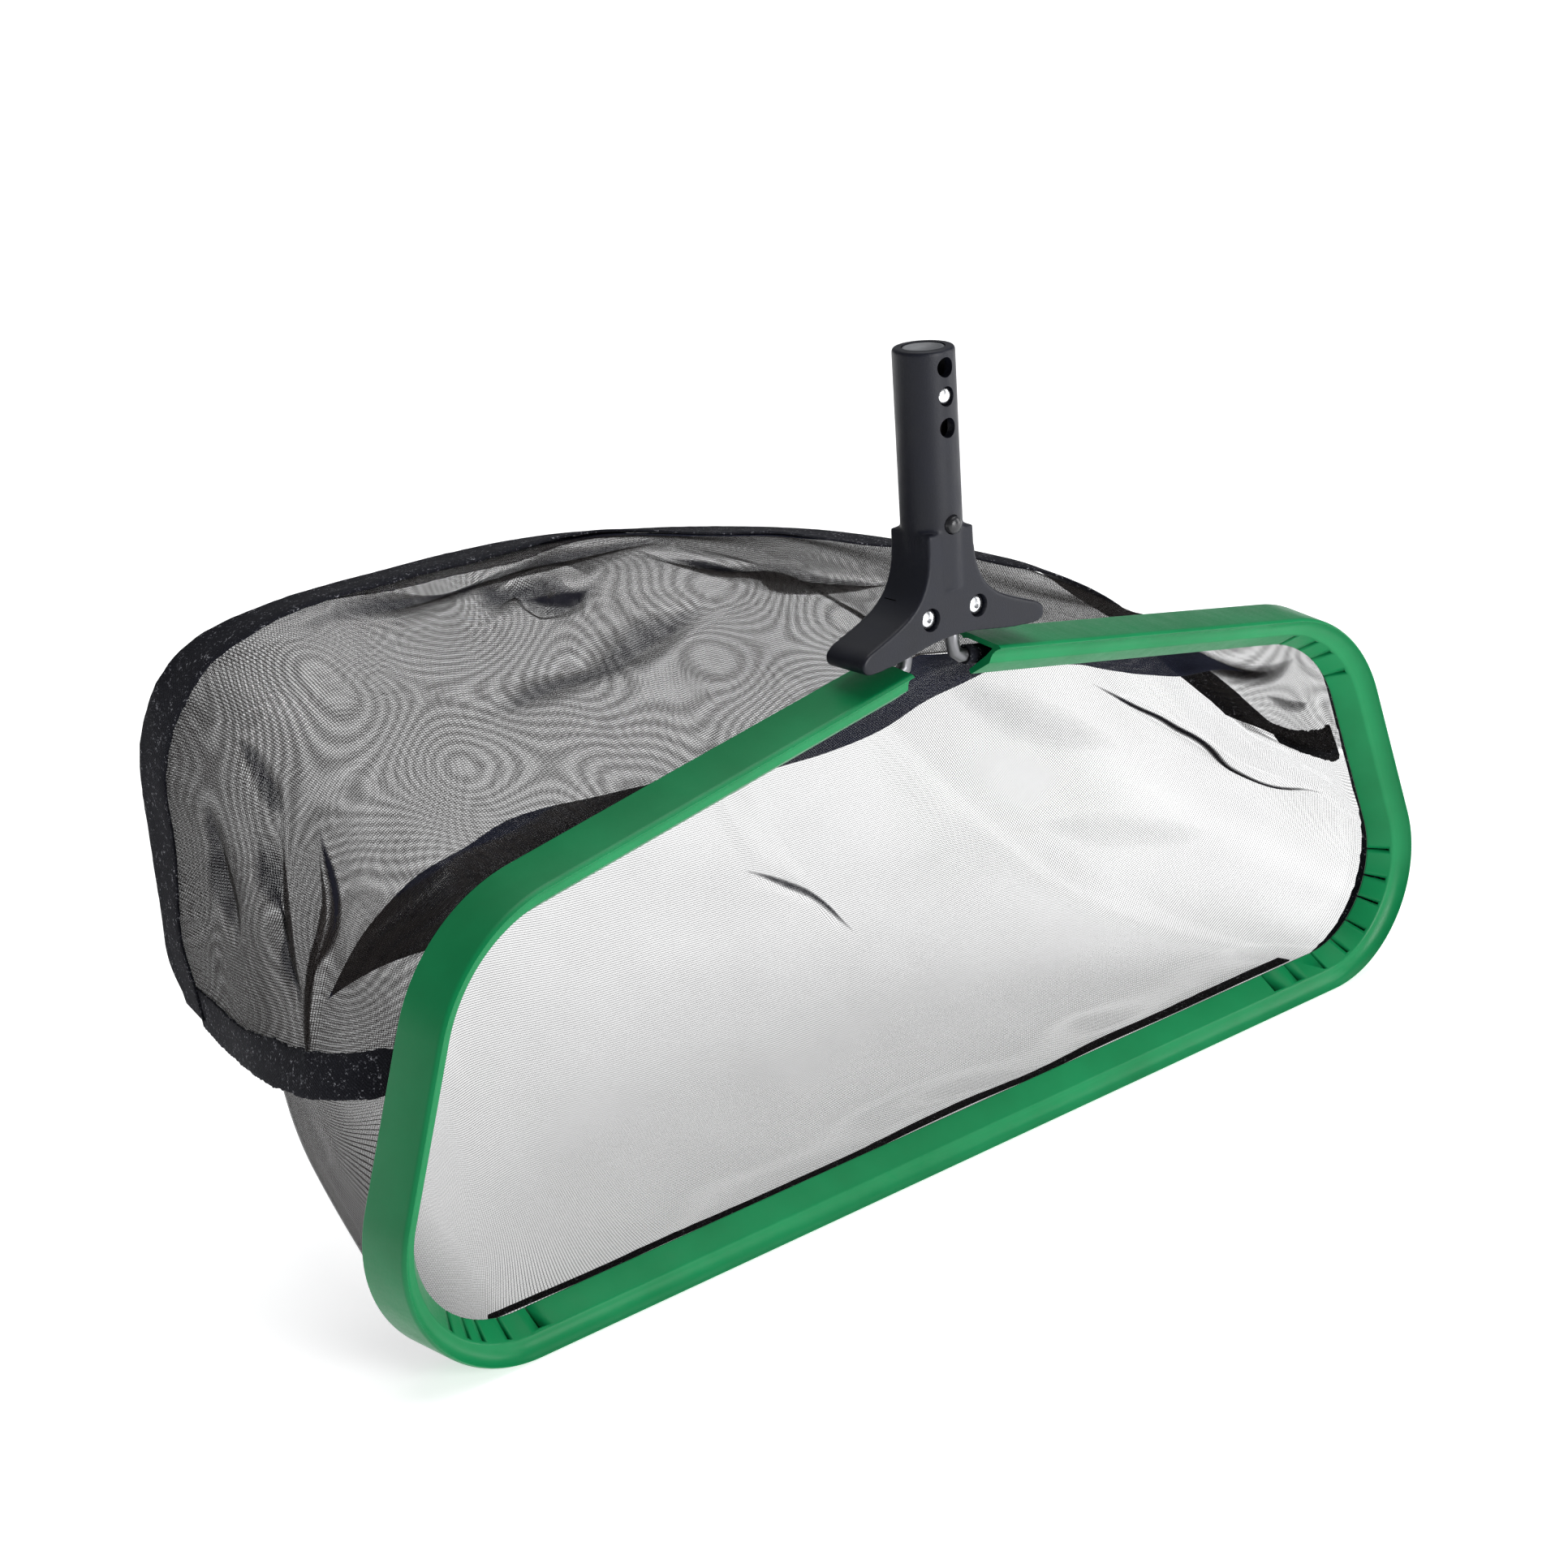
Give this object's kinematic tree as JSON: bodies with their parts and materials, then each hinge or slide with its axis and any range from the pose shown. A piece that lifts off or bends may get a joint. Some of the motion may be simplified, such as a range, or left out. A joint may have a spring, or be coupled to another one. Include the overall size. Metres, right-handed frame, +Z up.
{
  "type": "leaf skimmer net",
  "caption": "Deep-bag pool leaf net: rigid five-sided mouth frame with a scooping plastic lip, fine mesh bag, and a cast yoke whose spigot fits a telescopic pole.",
  "frame": {"origin": "middle of the flat underside of the bottom bar of the mouth frame, under the spigot's axis", "axes": "+X to the right along the bottom bar, seen from the open mouth; +Y back into the bag; +Z up along the spigot's axis"},
  "size_m": [0.5804, 0.2187, 0.3465],
  "materials": {
    "cast_black": "satin black paint over cast metal, slightly rough",
    "plug_grey": "matt dark grey moulded plastic",
    "lip_green": "satin green extruded plastic with fine lengthwise ridges",
    "bright_steel": "bright plated steel",
    "spring_steel": "rolled spring strip",
    "hoop_metal": "drawn aluminium rod, dark",
    "button_black": "smooth black",
    "binding_black": "black woven binding tape, speckled",
    "mesh_black": "fine see-through knitted mesh"
  },
  "bodies": {
    "frame": {"handle_casting": "cast_black", "spigot_end_plug": "plug_grey", "spring_cross_pin": "bright_steel", "snap_spring": "spring_steel", "frame_screw_left": "bright_steel", "frame_screw_right": "bright_steel", "frame_nut_left": "bright_steel", "frame_nut_right": "bright_steel", "lock_washer_left": "bright_steel", "lock_washer_right": "bright_steel", "frame_hoop": "hoop_metal", "edge_lip": "lip_green", "mouth_hem": "binding_black", "bag_top_panel": "mesh_black", "bag_bottom_panel": "mesh_black", "seam_binding_left": "binding_black", "seam_binding_rear": "binding_black", "seam_binding_right": "binding_black"},
    "front_button": {"snap_button_front": "button_black"},
    "rear_button": {"snap_button_rear": "button_black"}
  },
  "joints": [
    {"name": "front_button_press", "type": "slide", "parent": "frame", "child": "front_button", "axis": [0, 1, 0], "range_m": [0, 0.003], "stiffness_N_per_m": 2500, "springref_m": -0.001, "deforming": ["snap_spring"]},
    {"name": "rear_button_press", "type": "slide", "parent": "frame", "child": "rear_button", "axis": [0, -1, 0], "range_m": [0, 0.003], "stiffness_N_per_m": 2500, "springref_m": -0.001, "deforming": ["snap_spring"]}
  ]
}
